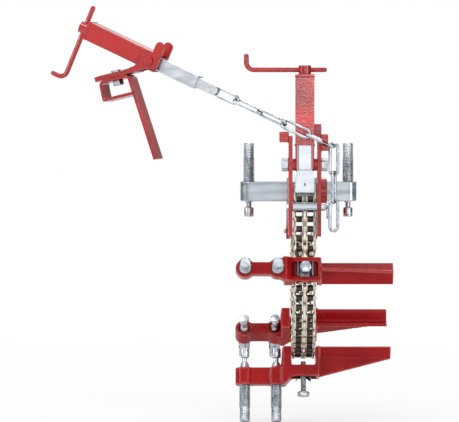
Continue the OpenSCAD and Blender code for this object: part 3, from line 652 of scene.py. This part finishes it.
ROD_R = 4 * MM
HANDLE_LEN = 130 * MM
HANDLE_UP = 26 * MM
HAND_SHORT = 36 * MM
ELBOW_SHORT = 40 * MM
BEND_R = 12 * MM
BEND_STEPS = 8
LEVER_RISE = 11.1 * MM
TUBE_HALF = 15 * MM
TUBE_CORNER = 4 * MM
TUBE_BOTTOM = 230 * MM
TUBE_TOP = 340 * MM
PULL_TUBE_END = 441.9 * MM
LEVEL_AXIS = 151.55 * MM
COLLAR_FACE = 26.4 * MM
COLLAR_SEAM_R = 23.4 * MM
FOOT_SEAM = 11 * MM
BOX_FACE = 26 * MM
SEAM_LIFT = 0.3 * MM
THIN_BEAD = 1.3 * MM
BEAD = 1.6 * MM
THICK_BEAD = 1.8 * MM
HOLE_R = 1.3 * MM
HOLE_RISE = 1.3 * MM
HOLE_Z = 167 * MM
HOLE_SIDES = 20

# In millimetres: the angle section that each bar ends in, and the seams of the lugs and the arm
TAIL_TIP = 107.65
TAIL_LEG = 27
LUG_SEAMS = [
    ((26.3, -138, 221.8), (26.3, -117.4, 221.8), (26.3, -117.4, 244.5)),
    ((26.5, -127, 245.2), (26.5, -108, 245.2)),
    ((-26.3, -137, 234.8), (-26.3, -117.4, 234.8), (-26.3, -117.4, 244.5)),
]
ARM_SEAMS = [((-4, side * 15.3, 28), (-4, side * 15.3, 37)) for side in (-1, 1)]


def handle(name, node, short, place):
    """A rod through a screw's head, with the end of its long side bent up."""
    end = short - HANDLE_LEN
    path = [Vector((short - ROD_R, 0, 0)), Vector((end + BEND_R, 0, 0))]
    for k in range(1, BEND_STEPS + 1):
        a = math.pi / 2 * k / BEND_STEPS
        path.append(Vector((end + BEND_R - BEND_R * math.sin(a), 0, BEND_R - BEND_R * math.cos(a))))
    path.append(Vector((end, 0, HANDLE_UP - ROD_R)))
    form = Form()
    form.rings(rod(path, ROD_R), place)
    form.piece(name, "sheet_red", BODY_OF[node], "red_paint", node)


def make_handles():
    top = Matrix.Translation((0, -CHAIN_R, TUBE_TOP + LEVER_RISE))
    handle("hand_lever_rod", "hand_lever", HAND_SHORT, top)
    end = PULL @ Matrix.Translation((0, 0, PULL_TUBE_END + LEVER_RISE))
    handle("elbow_lever_rod", "elbow_lever", ELBOW_SHORT, end)


def square_path(z, steps=3):
    """A closed path round a square tube, corner by corner."""
    points = []
    for q in range(4):
        cx = (TUBE_HALF - TUBE_CORNER) * (1 if q in (0, 3) else -1)
        cy = (TUBE_HALF - TUBE_CORNER) * (1 if q in (0, 1) else -1)
        for k in range(steps + 1):
            a = math.pi / 2 * (q + k / steps)
            points.append(Vector((cx + TUBE_CORNER * math.cos(a), cy + TUBE_CORNER * math.sin(a), z)))
    return points + [points[0]]


def circle_path(radius, x, z, steps=40):
    """A closed circle in a plane across the clamp's axis, straight above it."""
    turns = [math.radians(360 * k / steps) for k in range(steps + 1)]
    return [Vector((x, radius * math.cos(a), z + radius * math.sin(a))) for a in turns]


def add_seams(form, seams, place=Matrix()):
    for seam in seams:
        bead(form, [Vector(point) * MM for point in seam], BEAD, place)


def frame_welds():
    form = Form()
    tall = Matrix.Translation((0, -CHAIN_R, 0))
    bead(form, square_path(TUBE_TOP), THIN_BEAD, tall)
    bead(form, square_path(PULL_TUBE_END), THIN_BEAD, PULL)
    for side in (-1, 1):
        foot = [Vector((side * TUBE_HALF, y, TUBE_BOTTOM)) for y in (-FOOT_SEAM, FOOT_SEAM)]
        bead(form, foot, BEAD, tall)
    bead(form, circle_path(COLLAR_SEAM_R, COLLAR_FACE, LEVEL_AXIS), THICK_BEAD)
    add_seams(form, LUG_SEAMS)
    form.piece("frame_weld_beads", "sheet_red", "clamp_frame", "red_paint")


def bar_weld(bar, turn):
    """The seam over the angle section of a bar, where it leaves the bar's box."""
    wide = TAIL_LEG / math.sqrt(2)
    peak = (TAIL_TIP + wide) * MM
    foot = TAIL_TIP * MM + 1 * MM
    path = [Vector((SEAM_LIFT, y, z)) for y, z in ((-wide * MM, foot), (0, peak), (wide * MM, foot))]
    form = Form()
    bead(form, path, THICK_BEAD, round_axis(turn, BOX_FACE))
    form.piece(bar + "_bar_weld", "cast_red", bar + "_bar", "red_paint")


def make_welds():
    frame_welds()
    for bar, turn in TURNS.items():
        bar_weld(bar, turn)
    form = Form()
    add_seams(form, ARM_SEAMS, ARM)
    form.piece("arm_weld_beads", "sheet_red", "arm", "red_paint")


def make_block_hole():
    """A dark inset in the front of the block, as painted shade of the short slotted hole that the chain hangs
    from.
    """
    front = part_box("chain_block")[0][1]
    rings = []
    for y, r in ((front - 0.08 * MM, HOLE_R - 0.2 * MM), (front + 0.5 * MM, HOLE_R)):
        ring = []
        for k in range(HOLE_SIDES):
            a = TURN * k / HOLE_SIDES
            rise = HOLE_RISE if math.sin(a) > 0 else -HOLE_RISE
            ring.append((r * math.cos(a), y, HOLE_Z + rise + r * math.sin(a)))
        rings.append(ring)
    form = Form()
    form.rings(rings)
    form.piece("block_hole_painted_shade", "chain_roller", BODY_OF["chain_block"], SLOT_OF["chain_block"])


# Pieces of the frame with their edges rounded: look, and width of the rounding in millimetres

ROUNDED = {
    "side_plate_left": ("sheet_red", 0.7), "side_plate_right": ("sheet_red", 0.7),
    "frame_spacer": ("sheet_red", 0.8), "link_hook": ("sheet_red", 1.0), "blank_lug": ("sheet_red", 1.2),
    "pivot_bushes": ("sheet_red", 0.6), "screw_housing": ("lit_tube_red", 2.2), "housing_cap": ("lit_tube_red", 1.0),
    "hand_screw": ("sheet_red", 1.0), "level_collar": ("sheet_red", 1.0), "elbow_tube": ("sheet_red", 2.6),
    "elbow_cap": ("sheet_red", 1.0), "elbow_screw": ("sheet_red", 1.0), "elbow_arm": ("sheet_red", 1.2),
    "elbow_pivot_pins": ("sheet_red", 0.9), "elbow_hook": ("sheet_red", 1.0), "draw_bar": ("drawn_zinc", 1.2),
    "chain_block": ("drawn_zinc", 1.0), "keeper_roller": ("shaded_zinc", 0.7), "keeper_pin": ("zinc", 0.8),
    "level_bar": ("shaded_zinc", 1.2), "elbow_draw_bar": ("drawn_zinc", 1.2), "hook_bolt": ("zinc", 0.8),
    "chain_anchor_pin": ("zinc", 0.7), "pivot_studs": ("zinc", 1.4), "front_clip": ("spring", 0.4),
    "bottom_clip": ("spring", 0.4), "back_clip": ("spring", 0.4),
}


def dress_frame():
    """Rounds the frame's pieces and gives the welded links and the keeper's ring their zinc."""
    for node, (mat, width) in ROUNDED.items():
        softened(node, mat, width * MM)
    for bar in TURNS:
        softened(bar + "_bar", "cast_red")
    for node in ("pull_links", "tail_links_upper", "tail_links_lower", "keeper_ring"):
        for slot in frame["nodes"][node].material_slots:
            slot.material = MATS["link_zinc"]


make_chain()
make_screws()
make_handles()
make_welds()
make_block_hole()
dress_frame()


# Floor, light and camera

FLOOR_Z = -0.2258
FLOOR_REACH = 6.0
WHITE = (1, 1, 1, 1)
PALE = (0.86, 0.86, 0.86, 1)


def stage_material():
    """A pale floor that the camera sees fade to white away from the part."""
    s = Shader("pale_floor")
    s.finish(Roughness=0.9, Base_Color=PALE)
    away = s.calc("LENGTH", s.place, kind="ShaderNodeVectorMath")
    fade = s.remap(away, low=0.5, high=1.6, to_low=0.72, to_high=1.0)
    both = s.node("ShaderNodeMixShader")
    s.set(both.inputs[0], s.times(s.node("ShaderNodeLightPath").outputs["Is Camera Ray"], fade))
    s.set(both.inputs[1], s.bsdf.outputs[0])
    s.set(both.inputs[2], s.node("ShaderNodeEmission", Color=WHITE, Strength=1.0).outputs[0])
    s.set(s.tree.nodes["Material Output"].inputs["Surface"], both.outputs[0])
    return s.mat


def make_stage():
    mesh = bpy.data.meshes.new("floor")
    far = FLOOR_REACH
    mesh.from_pydata([(-far, -far, FLOOR_Z), (far, -far, FLOOR_Z), (far, far, FLOOR_Z), (-far, far, FLOOR_Z)],
                     [], [(0, 1, 2, 3)])
    mesh.materials.append(stage_material())
    floor = bpy.data.objects.new("floor", mesh)
    bpy.context.scene.collection.objects.link(floor)


def add_light(name, place, size, power, aim=Vector((-0.1, 0, 0.05)), height=None):
    """A square lamp of so many watts, or a rectangle where it has a height."""
    data = bpy.data.lights.new(name, "AREA")
    data.size = size
    if height:
        data.shape = "RECTANGLE"
        data.size_y = height
    data.energy = power
    lamp = bpy.data.objects.new(name, data)
    lamp.location = place
    lamp.rotation_euler = (aim - Vector(place)).to_track_quat("-Z", "Y").to_euler()
    bpy.context.scene.collection.objects.link(lamp)


def make_world():
    """A world that is white to the camera; polished faces see a bright ceiling and darker walls."""
    world = bpy.data.worlds.new("studio")
    world.use_nodes = True
    n = Nodes(world.node_tree)
    around = n.node("ShaderNodeTexCoord").outputs["Generated"]
    aim = n.node("ShaderNodeSeparateXYZ", Vector=around)
    wall = n.remap(aim.outputs["Z"], low=-0.05, high=0.7, to_low=0.34, to_high=0.95)
    aside = n.calc("ABSOLUTE", aim.outputs["X"])
    wings = n.remap(aside, low=0.35, high=0.9, to_low=1.0, to_high=0.22)
    seen = n.node("ShaderNodeLightPath").outputs["Is Camera Ray"]
    back = n.tree.nodes["Background"]
    n.set(back.inputs["Color"], WHITE)
    n.set(back.inputs["Strength"], n.remap(seen, 0.0, 1.0, n.times(wall, wings), 1.0))
    bpy.context.scene.world = world


def make_camera():
    data = bpy.data.cameras.new("camera")
    data.sensor_width = 36.0
    data.lens = 238.0
    camera = bpy.data.objects.new("camera", data)
    middle = Vector((-0.121, 0, 0.119))
    pitch = math.radians(2.5)
    away = 5.0
    camera.location = middle + Vector((0, -away * math.cos(pitch), away * math.sin(pitch)))
    camera.rotation_euler = (math.pi / 2 - pitch, 0, 0)
    bpy.context.scene.collection.objects.link(camera)
    bpy.context.scene.camera = camera


make_stage()
make_world()
add_light("key", (-0.6, -1.2, 2.2), size=0.6, power=12)
add_light("front", (0.08, -3.4, 0.57), size=1.0, power=7.2, aim=Vector((0.0, -0.1, 0.25)), height=0.6)
add_light("left", (-3.1, -1.2, 1.0), size=1.2, power=30)
add_light("card", (-2.6, -2.7, 0.75), size=1.5, power=3)
add_light("right", (2.0, -2.2, 0.6), size=1.2, power=19)
add_light("rim", (0.3, 1.3, 1.4), size=1.0, power=9)
make_camera()
bpy.context.scene.view_settings.view_transform = "Standard"
